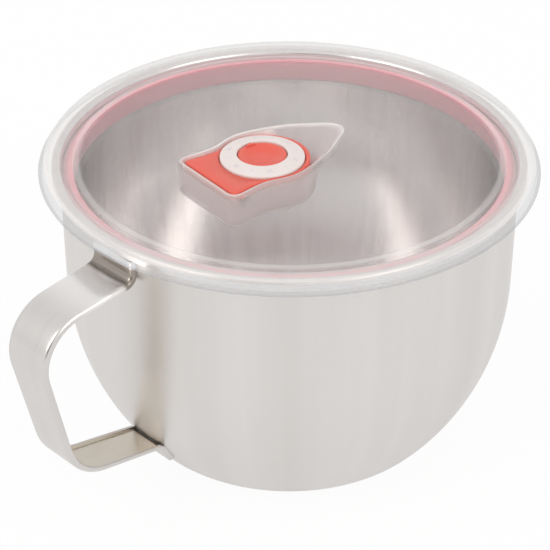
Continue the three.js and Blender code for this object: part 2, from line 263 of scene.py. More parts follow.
def axisPlace(finish):  # place on the object, the same without its height, distance from the axis
    place = finish.node("TexCoord", {}, {}, "Object")
    flat = finish.node("VectorMath", {"operation": "MULTIPLY"}, {0: place, 1: (1, 1, 0)})
    radius = finish.node("VectorMath", {"operation": "LENGTH"}, {0: flat}, "Value")
    return place, flat, radius


def partOf(finish, place, axis):
    return finish.node("SeparateXYZ", {}, {"Vector": place}, axis)


def toneMix(finish, share, first, second):
    return finish.node("Mix", {"data_type": "RGBA"}, {"Factor": share, "A": first, "B": second}, 2)


def relief(finish, height):  # a height of 1 stands 1 mm proud
    return finish.node("Bump", {}, {"Strength": 1, "Distance": mm, "Height": height})


def smoothStep(finish, value, start, end):  # 0 before start, 1 past end
    return finish.node("MapRange", {"interpolation_type": "SMOOTHSTEP"}, {
        "Value": value, "From Min": start * mm, "From Max": end * mm,
    })


# finishes

def steelFinish(name, polish):
    finish = newFinish(name)
    place, flat, radius = axisPlace(finish)
    height = partOf(finish, place, "Z")
    around = finish.node("VectorMath", {"operation": "NORMALIZE"}, {0: flat})
    spread = finish.node("VectorMath", {"operation": "SCALE"}, {0: around, "Scale": polish["streaks"]})
    grid = finish.node("VectorMath", {"operation": "MULTIPLY_ADD"}, {
        0: place, 1: polish["streakRise"], 2: spread,
    })
    inputs = {"Vector": grid, "Scale": 1, "Detail": 3, "Roughness": streakBlur}
    streaks = finish.node("TexNoise", {}, inputs, "Fac")
    tone = toneMix(finish, streaks, polish["tone"], polish["toneLight"])
    # painted light and shade: patches by radius and height that lighten or darken the steel's tone
    for paintedPatch in polish["paintedLightAndShade"]:
        share = smoothStep(finish, radius, *paintedPatch["radius"]) * smoothStep(finish, height, *paintedPatch["height"])
        tone = toneMix(finish, share, tone, paintedPatch["tone"])
    lines = noise(finish, polish["lineScale"], 4)
    clouds = noise(finish, polish["cloudScale"], 2)
    roughness = polish["roughness"] + (lines - noiseMiddle) * polish["lineRoughness"]
    roughness = roughness + (streaks - noiseMiddle) * polish["streakRoughness"]
    bump = relief(finish, lines * polish["lineHeight"] + clouds * polish["cloudHeight"])
    surface = finish.node("BsdfPrincipled", {}, {
        "Base Color": tone, "Metallic": 1, "Roughness": roughness, "Normal": bump,
    })
    return finish.show("Material", surface)


outsidePolish = {
    "tone": (0.69, 0.665, 0.645, 1), "toneLight": (0.86, 0.835, 0.82, 1), "streaks": 5,
    "streakRise": (0, 0, 2), "streakRoughness": 0.1, "roughness": 0.34, "lineScale": (25, 25, 900),
    "lineRoughness": 0.05, "lineHeight": 0.0002, "cloudScale": 22, "cloudHeight": 0.006, "paintedLightAndShade": [],
}
# painted light: a lighter tone than the outside's steel, to brighten the bowl's inside under the lid; its
# lower roughness is its polish
insidePolishLightened = {
    "tone": (0.79, 0.765, 0.765, 1), "toneLight": (0.94, 0.92, 0.915, 1), "streaks": 14,
    "streakRise": (0, 0, 5), "streakRoughness": 0.2, "roughness": 0.2, "lineScale": (20, 20, 400),
    "lineRoughness": 0, "lineHeight": 0, "cloudScale": 30, "cloudHeight": 0.012, "paintedLightAndShade": [],
}
handlePolish = {
    "tone": (0.70, 0.675, 0.655, 1), "toneLight": (0.77, 0.745, 0.73, 1), "streaks": 40,
    "streakRise": (60, 0, 60), "streakRoughness": 0.06, "roughness": 0.24, "lineScale": (60, 900, 60),
    "lineRoughness": 0.05, "lineHeight": 0.0003, "cloudScale": 40, "cloudHeight": 0.004,
    "paintedLightAndShade": [  # painted light on the upper arm and on the tab, painted shade at the upper weld
        # painted highlight: the upper arm by the wall is made brighter
        {"tone": (0.95, 0.925, 0.91, 1), "radius": (104, 88), "height": (80, 88)},
        # painted shade: dark brown where the tab sits in the gap under the lid's skirt
        {"tone": (0.36, 0.32, 0.285, 1), "radius": (80.8, 79.2), "height": (80, 88)},
        # painted light: the tab's top, seen through the lid's skirt, made almost white
        {"tone": (0.95, 0.95, 0.96, 1), "radius": (80.8, 79.2), "height": (94.8, 96)},
    ],
}
channelPolish = {
    "tone": (0.78, 0.725, 0.64, 1), "toneLight": (0.88, 0.84, 0.76, 1), "streaks": 60,
    "streakRise": (90, 20, 90), "streakRoughness": 0.15, "roughness": 0.2, "lineScale": (60, 900, 60),
    "lineRoughness": 0.05, "lineHeight": 0.0003, "cloudScale": 60, "cloudHeight": 0.008,
    "paintedLightAndShade": [  # painted light: paler by the lower weld, where the channel's end is in shade
        {"tone": (0.84, 0.79, 0.72, 1), "radius": (76, 69), "height": (34, 30)},
    ],
}


def clearFinish(name, plastic):  # thin milky plastic: clear face on, whiter where the surface turns away
    finish = newFinish(name)
    place, _, radius = axisPlace(finish)
    height = partOf(finish, place, "Z")
    along = partOf(finish, place, "X")
    skirt = smoothStep(finish, radius, *plastic["skirtFrom"])
    low = smoothStep(finish, radius, *plastic["edgeFrom"])
    low = low * smoothStep(finish, height, *plastic["edgeBelow"])
    sunk = finish.node("Attribute", {"attribute_name": "sunk"}, {}, "Fac")  # the pocket's wall and floor: more haze, and the painted glow tone
    lip = finish.node("Attribute", {"attribute_name": "milk"}, {}, "Fac")  # painted highlight lines along its lip and its floor's edge
    deep = sunk * smoothStep(finish, along, *plastic["scoopFrom"])
    haze = plastic["plateHaze"] + skirt * (plastic["skirtHaze"] - plastic["plateHaze"])
    haze = haze - low * plastic["edgeClear"]
    haze = haze + sunk * plastic["scoopHaze"] + deep * (plastic["pocketHaze"] - plastic["scoopHaze"])
    # painted highlights: bright milk lines on the pocket's lip and floor edge, the ridge, the fold and
    # the skirt's edge
    lines = lip
    for line in plastic["lines"]:
        inside = smoothStep(finish, radius, *line["from"]) * smoothStep(finish, radius, *line["to"])
        lines = lines + inside * smoothStep(finish, height, *line["height"]) * line["share"]
    cloud = noise(finish, plastic["cloudScale"], 2)
    facing = finish.node("LayerWeight", {}, {"Blend": 0.5}, "Facing")
    share = haze * (1 + (cloud - noiseMiddle) * plastic["cloudHaze"]) + lines * plastic["paintedHighlightShare"]
    share = share + facing ** plastic["edgePower"] * plastic["edgeHaze"]
    # painted light: the pocket's milk is brighter and pinker than the plate's, standing for light and the
    # red flap's glow through its walls
    tone = toneMix(finish, sunk, plastic["milk"], plastic["pocketMilkAndGlow"])
    # painted shade: the lower skirt is a darker grey than the plate's milk
    tone = toneMix(finish, low, tone, plastic["lowerSkirtShadeTone"])
    tone = toneMix(finish, lip, tone, plastic["lipHighlight"])
    ripple = relief(finish, noise(finish, plastic["rippleScale"], 1) * plastic["ripple"])
    surface = finish.node("BsdfPrincipled", {}, {
        "Base Color": tone, "Roughness": plastic["roughness"], "IOR": plastic["ior"],
        "Alpha": share, "Normal": ripple,
    })
    return finish.show("Material", surface)


clearPlastic = {
    "milk": (0.82, 0.8, 0.79, 1), "pocketMilkAndGlow": (1, 0.87, 0.86, 1), "lowerSkirtShadeTone": (0.5, 0.51, 0.53, 1),
    "lipHighlight": (1, 0.95, 0.94, 1), "roughness": 0.14, "ior": 1.5, "ripple": 0.006, "rippleScale": 45,
    "plateHaze": 0.06, "skirtHaze": 0.36, "pocketHaze": 0.52, "scoopHaze": 0.08, "paintedHighlightShare": 0.5,
    "edgeHaze": 0.4, "edgePower": 4, "edgeClear": 0.14, "cloudHaze": 0.4, "cloudScale": 60,
    "skirtFrom": (69.5, 76), "scoopFrom": (6, 2), "edgeFrom": (79.3, 79.9), "edgeBelow": (103.5, 102.7),
    "lines": [  # painted highlight lines along the ridge, the fold and the skirt's edge
        {"from": (68, 69.6), "to": (72, 70.4), "height": (101.8, 102.3), "share": 0.6},
        {"from": (79, 79.4), "to": (80.2, 79.8), "height": (102.8, 103.1), "share": 0.3},
        {"from": (80.8, 81.2), "to": (84, 83.5), "height": (100.3, 100), "share": 0.5},
    ],
}
anyPlastic = {"cloudScale": 120, "grainRoughness": 0.1, "glowReach": (0.9, 0.35, 0.3)}  # reach in mm


def plasticFinish(name, plastic):
    finish = newFinish(name)
    grain = noise(finish, plastic["grainScale"], 3)
    cloud = noise(finish, anyPlastic["cloudScale"], 2)
    surface = finish.node("BsdfPrincipled", {}, {
        "Base Color": toneMix(finish, cloud, plastic["tone"], plastic["toneWorn"]),
        "Roughness": plastic["roughness"] + (grain - noiseMiddle) * anyPlastic["grainRoughness"],
        "Normal": relief(finish, grain * plastic["grainHeight"]),
        "Subsurface Weight": plastic["glow"], "Subsurface Radius": anyPlastic["glowReach"],
        "Subsurface Scale": mm,
    })
    return finish.show("Material", surface)


redPlastic = {
    "tone": (0.74, 0.105, 0.073, 1), "toneWorn": (0.79, 0.13, 0.09, 1), "roughness": 0.34,
    "grainScale": 900, "grainHeight": 0.004, "glow": 0.1,
}
redSilicone = {
    "tone": (0.97, 0.43, 0.49, 1), "toneWorn": (0.99, 0.49, 0.55, 1), "roughness": 0.5,
    "grainScale": 700, "grainHeight": 0.004, "glow": 0.15,
}
whitePlastic = {
    "tone": (0.76, 0.685, 0.665, 1), "toneWorn": (0.8, 0.735, 0.715, 1), "roughness": 0.35,
    "grainScale": 900, "grainHeight": 0.003, "glow": 0.1,
}
printInk = {
    "tone": (0.55, 0.54, 0.62, 1), "toneWorn": (0.63, 0.62, 0.69, 1), "roughness": 0.5,
    "grainScale": 900, "grainHeight": 0.001, "glow": 0,
}
finishes = {
    "outside": steelFinish("satinSteelOutside", outsidePolish),
    "inside": steelFinish("polishedSteelInsideLightened", insidePolishLightened),
    "handle": steelFinish("polishedSteelHandle", handlePolish),
    "channel": steelFinish("polishedSteelChannel", channelPolish),
    "clear": clearFinish("clearLidPlastic", clearPlastic),
    "red": plasticFinish("redFlapPlastic", redPlastic),
    "seal": plasticFinish("redSealSilicone", redSilicone),
    "white": plasticFinish("whiteDialPlastic", whitePlastic),
    "ink": plasticFinish("dialPrint", printInk),
}
print("finishes made")


# bowl: one drawn sheet, from the middle of its base to the turned rim

bowl = {
    "sheet": 0.7, "wallRadius": 75.4, "sideRadius": 87, "sideLean": 39.4, "baseCorner": 14,
    "rimBend": 1.3, "rimLip": 2, "steps": 192,
    "baseParts": 8, "cornerParts": 16, "sideParts": 28, "wallParts": 10, "rimParts": 14, "lipParts": 2,
}


def sideCentre(b):  # of the arc that the side follows
    lean = math.radians(b["sideLean"])
    height = b["sideRadius"] * math.sin(lean) + b["baseCorner"] * (1 - math.sin(lean))
    return b["wallRadius"] - b["sideRadius"], height


def makeBowl(b):
    half = b["sheet"] / 2
    sideX, sideZ = sideCentre(b)
    cornerX = sideX + (b["sideRadius"] - b["baseCorner"]) * math.cos(math.radians(b["sideLean"]))
    wallX = b["wallRadius"] - half
    rimX = wallX + b["rimBend"]
    rimZ = bowlTop - half - b["rimBend"]
    lipZ = rimZ - b["rimLip"]
    shape = bmesh.new()
    pen = Pen(shape, 0, half)
    pen.line(cornerX, half, b["baseParts"])
    pen.arc(cornerX, b["baseCorner"], 90 - b["sideLean"], b["cornerParts"])
    pen.arc(sideX, sideZ, b["sideLean"], b["sideParts"])
    pen.line(wallX, rimZ, b["wallParts"])
    pen.arc(rimX, rimZ, -180, b["rimParts"])
    pen.line(rimX + b["rimBend"], lipZ, b["lipParts"])
    turnRound(shape, b["steps"])
    piece = addPiece(
        "bowlBody", shape, [finishes["outside"], finishes["inside"]], "bowl", "bowl",
        steps=[("SOLIDIFY", {"thickness": b["sheet"] * mm, "offset": 0, "use_even_offset": True})],
    )
    middle = Vector((0, 0, sideZ * mm))
    for face in piece.data.polygons:  # the rim is polished like the inside and takes its painted lighter tone
        inwards = face.normal.dot(face.center - middle) < 0
        face.material_index = int(inwards or face.center.z >= lipZ * mm)
    return piece


makeBowl(bowl)


# handle: a strip with turned-in edges, swept along straight legs and bends

handle = {
    "strip": 1, "edgeRadius": 1.4, "lip": 1.9, "upperWidth": 19.2, "lowerWidth": 15,
    "upperArmZ": 91.35, "elbowReach": 40.3, "elbowZ": 87.2, "lowerElbowReach": 27.1,
    "lowerElbowZ": 27.1, "lowerArmZ": 19.3, "elbowBend": 16.4, "lowerElbowBend": 20,
    "tabBend": 2.6, "lowerTab": 8, "topZ": 98, "edgeBevel": 0.15, "bevelAngle": 50,
    "bendParts": 16, "legParts": 4, "edgeParts": 7, "faceCuts": 7,
}


def sweepStep(shape, section, matrix, widen):
    fresh, section = pullEdges(shape, section)
    bmesh.ops.transform(shape, matrix=matrix, verts=list(fresh))
    bmesh.ops.scale(shape, vec=(1, widen, 1), verts=list(fresh))
    return section


def makeHandle(h):  # follows the strip's outer face, on +X until the end
    wall = bowl["wallRadius"]
    seat = fitGap + h["strip"]
    sideX, sideZ = sideCentre(bowl)
    tabRadius = bowl["sideRadius"] + seat
    armTurn = -math.asin((sideZ - h["lowerArmZ"]) / tabRadius)
    endTurn = armTurn - h["lowerTab"] / tabRadius
    onSide = [(sideX + tabRadius * math.cos(turn), sideZ + tabRadius * math.sin(turn))
              for turn in (armTurn, endTurn)]
    corners = [
        (wall + seat, h["topZ"]),
        (wall + seat, h["upperArmZ"], h["tabBend"]),
        (wall + h["elbowReach"], h["elbowZ"], h["elbowBend"]),
        (wall + h["lowerElbowReach"], h["lowerElbowZ"], h["lowerElbowBend"]),
        (*onSide[0], h["tabBend"]),
        onSide[1],
    ]
    side = h["upperWidth"] / 2 * mm
    outerX = (wall + seat) * mm
    lipX = outerX - h["lip"] * mm
    shape = bmesh.new()
    verts = [shape.verts.new((x, y, h["topZ"] * mm)) for x, y in
             ((lipX, -side), (outerX, -side), (outerX, side), (lipX, side))]
    for pair in zip(verts, verts[1:]):
        shape.edges.new(pair)
    bmesh.ops.bevel(
        shape, geom=verts[1:3], offset=h["edgeRadius"] * mm, segments=h["edgeParts"], profile=0.5,
        affect="VERTICES", material=-1,
    )
    flat = max(shape.edges, key=lambda edge: edge.calc_length())
    bmesh.ops.subdivide_edges(shape, edges=[flat], cuts=h["faceCuts"])
    section = shape.edges[:]
    here = Vector(corners[0])
    steps = []  # each a move of the section and the length it covers
    for before, corner, after in zip(corners, corners[1:], corners[2:]):
        start, centre, degrees = bendAt(before, corner, after)
        leg = (start - here) / h["legParts"]
        steps += [(Matrix.Translation((leg.x * mm, 0, leg.y * mm)), leg.length)] * h["legParts"]
        part = math.radians(degrees) / h["bendParts"]
        about = Vector((centre.x * mm, 0, centre.y * mm))
        turn = Matrix.Translation(about) @ Matrix.Rotation(-part, 4, "Y") @ Matrix.Translation(-about)
        steps += [(turn, corner[2] * abs(part))] * h["bendParts"]
        here = centre + Matrix.Rotation(math.radians(degrees), 2) @ (start - centre)
    leg = Vector(corners[-1]) - here
    steps.append((Matrix.Translation((leg.x * mm, 0, leg.y * mm)), leg.length))
    total = sum(size for _, size in steps)
    taper = h["lowerWidth"] / h["upperWidth"] - 1
    length = 0
    for matrix, size in steps:
        widen = (1 + taper * (length + size) / total) / (1 + taper * length / total)
        section = sweepStep(shape, section, matrix, widen)
        length += size
    closeUp(shape)
    outermost = max(shape.faces, key=lambda face: face.calc_center_median().x)
    if outermost.normal.x < 0:
        bmesh.ops.reverse_faces(shape, faces=shape.faces)
    bmesh.ops.rotate(shape, verts=shape.verts, matrix=Matrix.Rotation(math.pi, 3, "Z"))
    return addPiece(
        "handleStrip", shape, [finishes["handle"], finishes["channel"]],
        "bowl", "handle",
        steps=[
            ("SOLIDIFY", {
                "thickness": h["strip"] * mm, "offset": -1, "use_even_offset": True,
                "material_offset": 1,  # the inner face gets the channel's finish
            }),
            ("BEVEL", {
                "width": h["edgeBevel"] * mm, "segments": 2, "angle_limit": math.radians(h["bevelAngle"]),
            }),
        ],
    )


makeHandle(handle)


# lid: levels that its pieces share

lid = {
    "wall": 1.25, "plateSink": 2.2, "crown": 3.4, "plateRadius": 68.175,
    "plugOuter": 70.6, "plugInner": 69.35, "ridgeRise": 0.6, "ridgeSlope": 0.8, "ridgeEnd": 0.3,
    "ridgeFoot": 1.2, "ridgeRound": 0.6,
    "bandStart": 75.1, "bandFoot": 1.4, "bandLean": 0.3, "fold": 79.65, "flare": 2.9, "drop": 4.5,
    "foldInside": 0.4, "grooveInside": 1, "foot": 1.5, "footHeight": 0.8, "turn": -6.7, "steps": 180,
}
seal = {
    "inner": 70.9, "outer": 74.3, "height": 7.4, "fins": 3, "finDepth": 1.3, "finStart": 0.1,
    "finFace": (0.4, 0.6), "finEnd": 0.8,  # shares of a fin's pitch
    "round": 0.3, "finRound": 0.15, "rootRound": 0.1, "steps": 180,
}
bandZ = bowlTop + fitGap + lid["wall"]
grooveZ = bandZ - lid["plateSink"]
sealTop = grooveZ - lid["wall"] - fitGap
sealBottom = sealTop - seal["height"]
dial = {
    "x": -11.2, "radius": 13.9, "bore": 8.3, "proud": 1.2, "rise": 1.1, "ledge": 1.5, "ledgeHeight": 0.7,
    "seatDepth": 1, "edge": 0.4, "smallEdge": 0.15, "innerEdge": 0.1, "steps": 96,
}


def crownZ(point):
    return grooveZ + lid["crown"] * (1 - (point.length / lid["plateRadius"]) ** 2)


ventZ = crownZ(Vector((dial["x"], 0)))
pocket = {
    "depth": 11.8, "tip": 21.3, "back": 34.1, "shoulder": 14.7, "corner": 3, "waist": (-20.6, 13.8),
    "bulge": (-9.2, 15.9), "belly": (6.05, 11.55), "tipHalf": 5.6, "tipLength": 5.2, "tipRound": 3,
    "endGap": 0.9, "steepness": 4, "draft": 0.4, "lip": 0.6, "fillet": 1.4, "hole": 3.4,
    "plateShares": (0, 0.15, 0.35, 0.55, 0.75, 0.9, 0.985, 1),
    "wallShares": (0, 0.05, 0.1, 0.17, 0.25, 0.33, 0.42, 0.52, 0.65, 0.8, 1),
    "lipHighlight": (0.5, 1, 0.8),  # shares of the lip's painted highlight before, on and below the lip
    # sunk shares: the pocket's haze and its painted glow tone
    "innerMilk": 1.2, "outerMilk": 0.65, "bossMilk": 0.35,
}
floorZ = ventZ - pocket["depth"]
flap = {
    "sink": 1.6, "lift": 0.6, "gap": 1.2, "margin": 1.1, "ahead": 0.9, "plate": 2.2, "depth": 4,
    "skirt": 1.2, "edge": 0.5, "seatEdge": 0.15, "bottomEdge": 0.2, "endParts": 30, "sidesFrom": 2,
    "hingeInset": 4.2, "hingeDrop": 1.5, "pin": 0.9, "pinRoot": 0.5, "pinReach": 0.7,
    "boss": 1.8, "bossStart": 0.8, "bossEnd": 1.9,
}
flapTop = ventZ - flap["sink"]
hingeX = flap["hingeInset"] - pocket["back"]
hingeZ = flapTop - flap["hingeDrop"]


def turnLid(shape):  # the lid happens to be turned a little on the bowl
    spin = Matrix.Rotation(math.radians(lid["turn"]), 3, "Z")
    bmesh.ops.rotate(shape, verts=shape.verts, matrix=spin)


def curve(start, first, second, end, parts):
    flat = [Vector((*point, 0)) for point in (start, first, second, end)]
    return [point.xy for point in interpolate_bezier(*flat, parts + 1)][1:]


def softCorner(start, corner, end, parts):
    first, second = (Vector(point).lerp(Vector(corner), 2 / 3) for point in (start, end))
    return curve(start, first, second, end, parts)


def leafOutline(p):  # anticlockwise from the tip
    tipSide = (p["tip"] - p["tipLength"], p["tipHalf"])
    shoulder = (p["corner"] - p["back"], p["shoulder"])
    backSide = (-p["back"], p["shoulder"] - p["corner"])
    half = [Vector((p["tip"], 0))]
    half += softCorner((p["tip"], 0), (p["tip"], p["tipRound"]), tipSide, 18)
    knots = [Vector(point) for point in (tipSide, p["belly"], p["bulge"], p["waist"], shoulder)]
    for k in range(len(knots) - 1):
        before, start, end = knots[max(k - 1, 0)], knots[k], knots[k + 1]
        after = knots[min(k + 2, len(knots) - 1)]
        half += curve(start, start + (end - before) / 6, end - (after - start) / 6, end, 14)
    half += softCorner(shoulder, (-p["back"], p["shoulder"]), backSide, 10)
    back = Vector(backSide)
    half += [back.lerp(Vector((-p["back"], 0)), (k + 1) / 6) for k in range(6)]
    return half + [Vector((point.x, -point.y)) for point in half[-2:0:-1]]


leaf = leafOutline(pocket)


def pocketOutline(share, grow):  # share runs from 0 at the lip to 1 at the floor
    middle = Vector((dial["x"] + flap["ahead"], 0))
    end = dial["radius"] + flap["margin"] + pocket["endGap"]  # the deep part ends round the flap
    pull = 1 - (1 - share) ** pocket["steepness"]
    drawn = []
    for point in leaf:
        reach = (point - middle).length
        past = pull * (1 - end / reach) if point.x > middle.x and reach > end else 0
        drawn.append(point.lerp(middle, past))
    return outset(drawn, grow - pocket["draft"] * share)


def quarterTurns(parts):  # radians round a quarter of a circle, without its start
    return [math.pi / 2 * k / parts for k in range(1, parts + 1)]


def pocketLoops(grow, drop):  # plate to vent hole: the painted highlight of each loop, how sunk it is, and its points
    p = pocket
    inner = grow == 0
    before, on, below = p["lipHighlight"] if inner else (0, 0, 0)  # the lip's painted highlight shows on the top
    rim = outset(leaf, p["lip"] + grow)
    circle = circlePoints(lid["plateRadius"], lid["steps"])
    loops = []
    for share in p["plateShares"]:
        between = [a.lerp(b, share) for a, b in zip(circle, rim)]
        loops.append((before * (share == 1), 0, raised(between, lambda point: crownZ(point) - drop)))
    for turn in quarterTurns(4)[:-1]:
        inset = p["lip"] * (1 - math.sin(turn)) + grow
        down = p["lip"] * (1 - math.cos(turn)) + drop
        loops.append((on, 0, raised(outset(leaf, inset), lambda point: crownZ(point) - down)))
    lipZ = ventZ - drop - p["lip"]
    bottom = floorZ - drop
    fillet = p["fillet"] + drop / 2
    wallEnd = bottom + fillet
    for share in p["wallShares"]:
        height = lipZ + (wallEnd - lipZ) * share
        depthShare = share * (1 - fillet / p["depth"])
        sunk = (share > 0) * (p["innerMilk"] if inner else p["outerMilk"])
        loops.append((below * (share == 0), sunk, raised(pocketOutline(depthShare, grow), height)))
    for turn in quarterTurns(4):
        inset = fillet * (1 - math.cos(turn))
        height = wallEnd - fillet * math.sin(turn)
        depthShare = 1 - fillet * (1 - math.sin(turn)) / p["depth"]
        milk = 0 if inner else math.sin(2 * turn)  # the painted highlight of the floor's edge shows on the underside
        loops.append((milk, 1, raised(pocketOutline(depthShare, grow - inset), height)))
    loops.append((0, 1, raised(circlePoints(p["hole"], lid["steps"], dial["x"]), bottom)))
    return loops


def addPin(shape, radius, start, end, side):  # lies along the flap's hinge
    middle = Vector((hingeX, side * (start + end) / 2, hingeZ)) * mm
    lying = Matrix.Translation(middle) @ Matrix.Rotation(math.pi / 2, 4, "X")
    made = bmesh.ops.create_cone(
        shape, cap_ends=True, segments=32, radius1=radius * mm, radius2=radius * mm,
        depth=(end - start) * mm, matrix=lying,
    )
    return made["verts"]


def makeLid(d):
    wall = d["wall"]
    skirtZ = bandZ - d["drop"]
    footTop = sealBottom - fitGap
    footZ = footTop - d["footHeight"]
    under = grooveZ - wall
    ridgeZ = grooveZ + d["ridgeRise"]
    band = d["bandStart"]
    plugOuter = d["plugOuter"]
    skirtX = d["fold"] + d["flare"]
    shape = bmesh.new()
    # milk carries the painted highlight lines, sunk the pocket's haze and its painted glow tone
    for layer in ("milk", "sunk"):
        shape.verts.layers.float.new(layer)
    pen = Pen(shape, d["plateRadius"], grooveZ)
    pen.follow([  # across the top, round the skirt and back underneath
        (d["plateRadius"] + d["ridgeSlope"], ridgeZ, d["ridgeRound"]),
        (plugOuter + d["ridgeEnd"], ridgeZ, d["ridgeRound"]),
        (plugOuter + d["ridgeFoot"], grooveZ, d["ridgeRound"]),
        (band - d["bandFoot"], grooveZ, 0.7),
        (band + d["bandLean"], bandZ, 0.9),
        (d["fold"], bandZ, 1.1),
        (skirtX, skirtZ, 0.35),
        (skirtX - wall, skirtZ, 0.35),
        (d["fold"] - wall + d["foldInside"], bandZ - wall, 0.5),
        (band + wall, bandZ - wall, 0.4),
        (band - d["grooveInside"], under, 0.5),
        (plugOuter, under, 0.3),
        (plugOuter, footTop, 0.2),
        (plugOuter + d["foot"], footTop, 0.15),
        (plugOuter + d["foot"], footZ, 0.5),
        (d["plugInner"], footZ, 0.4),
        (d["plugInner"], under, 0.5),
        (d["plateRadius"], under),
    ])
    turnRound(shape, d["steps"])
    milk, sunk, loops = zip(*pocketLoops(0, 0), *pocketLoops(wall, wall)[::-1])
    skin(shape, loops, (("milk", milk), ("sunk", sunk)))
    closeUp(shape)
    for side in (1, -1):  # bosses that hold the flap's pins
        start, end = (pocket["shoulder"] + flap[key] for key in ("bossStart", "bossEnd"))
        for vert in addPin(shape, flap["boss"], start, end, side):
            vert[shape.verts.layers.float["sunk"]] = pocket["bossMilk"]
    turnLid(shape)
    return addPiece("lidShell", shape, [finishes["clear"]], "lid", "lid_shell", sharp=50)


makeLid(lid)


# seal: a ring round the lid's plug wall, with soft fins

def makeSeal(s):
    pitch = s["height"] / s["fins"]
    root = s["outer"] - s["finDepth"]
    half = sealBottom + s["height"] / 2
    corners = []
    for k in range(s["fins"]):
        z = sealBottom + pitch * k
        corners.append((root, z + s["finStart"], s["rootRound"]))
        corners += [(s["outer"], z + pitch * share, s["finRound"]) for share in s["finFace"]]
        corners.append((root, z + pitch * s["finEnd"], s["rootRound"]))
    shape = bmesh.new()
    pen = Pen(shape, s["inner"], half)
    pen.follow([
        (s["inner"], sealBottom, s["round"]), *corners, (root, sealTop, s["round"]),
        (s["inner"], sealTop, s["round"]), (s["inner"], half),
    ], 3)
    turnRound(shape, s["steps"])
    turnLid(shape)
    return addPiece("lidSeal", shape, [finishes["seal"]], "lid", "lid_seal", sharp=50)


makeSeal(seal)


# vent flap: a shallow tray upside down, with a round seat for the dial and two hinge pins

def flapOutline(f):
    count = f["endParts"]
    radius = dial["radius"] + f["margin"]
    middle = dial["x"] + f["ahead"]
    turns = [math.pi / 2 * k / count for k in range(count + 1)]
    half = [Vector((middle + radius * math.cos(t), radius * math.sin(t))) for t in turns]
    inner = outset(leaf, -f["gap"])
    half += [p for p in inner[:len(leaf) // 2 + 1] if p.x < dial["x"] - f["sidesFrom"]]
    return half + [Vector((p.x, -p.y)) for p in half[-2:0:-1]]


def makeFlap(f):
    outline = flapOutline(f)
    middle = Vector((dial["x"], 0))
    spokes = [(point - middle).normalized() for point in outline]

    def ring(radius, z):
        return raised([middle + spoke * radius for spoke in spokes], z)

    def edgeOf(grow, z):
        return raised(outset(outline, grow), z)

    stem = hub["stem"] + fitGap
    seatIn = dial["bore"] - dial["ledge"] - fitGap
    seatOut = dial["radius"] + fitGap
    seatZ = flapTop - dial["seatDepth"]
    faceZ = flapTop + f["lift"]  # the face round the dial stands above the dial's seat
    bottom = flapTop - f["depth"]
    under = flapTop - f["plate"]
    loops = [ring(stem, flapTop), ring(seatIn, flapTop), ring(seatIn, seatZ), ring(seatOut, seatZ)]
    loops += [ring(seatOut, faceZ - f["seatEdge"]), ring(seatOut + f["seatEdge"], faceZ)]
    for turn in [0, *quarterTurns(4)]:
        loops.append(edgeOf(-f["edge"] * (1 - math.sin(turn)), faceZ - f["edge"] * (1 - math.cos(turn))))
    loops += [edgeOf(0, bottom + f["bottomEdge"]), edgeOf(-f["bottomEdge"], bottom)]
    loops += [edgeOf(-f["skirt"], bottom), edgeOf(-f["skirt"], under), ring(stem, under)]
    shape = bmesh.new()
    skin(shape, loops + loops[:1])
    closeUp(shape)
    start = pocket["shoulder"] - f["gap"] - f["pinRoot"]
    for side in (1, -1):
        addPin(shape, f["pin"], start, pocket["shoulder"] + f["pinReach"], side)
    turnLid(shape)
    return addPiece("ventFlap", shape, [finishes["red"]], "flap", "vent_flap", sharp=50)


# date ring with raised numbers

def makeDial(d):
    bottom = flapTop - d["seatDepth"] + fitGap
    top = flapTop + d["proud"]
    ledge = d["bore"] - d["ledge"]
    ledgeTop = bottom + d["ledgeHeight"]
    middle = (d["bore"] + d["radius"]) / 2
    shape = bmesh.new()
    pen = Pen(shape, middle, bottom)
    pen.follow([
        (d["radius"], bottom, d["smallEdge"]), (d["radius"], top, d["edge"]),
        (d["bore"], top + d["rise"], d["edge"]), (d["bore"], ledgeTop, d["innerEdge"]),
        (ledge, ledgeTop, d["smallEdge"]), (ledge, bottom, d["smallEdge"]), (middle, bottom),
    ], 6)
    turnRound(shape, d["steps"])
    bmesh.ops.translate(shape, verts=shape.verts, vec=(d["x"] * mm, 0, 0))
    turnLid(shape)
    return addPiece("dateRing", shape, [finishes["white"]], "dial", "date_ring", sharp=50)


marks = {
    "numbers": ("5", "10", "15", "20", "25", "30"), "size": 1.9, "radius": 11.2, "start": 65,
    "thick": 0.03, "dot": 0.26,
}


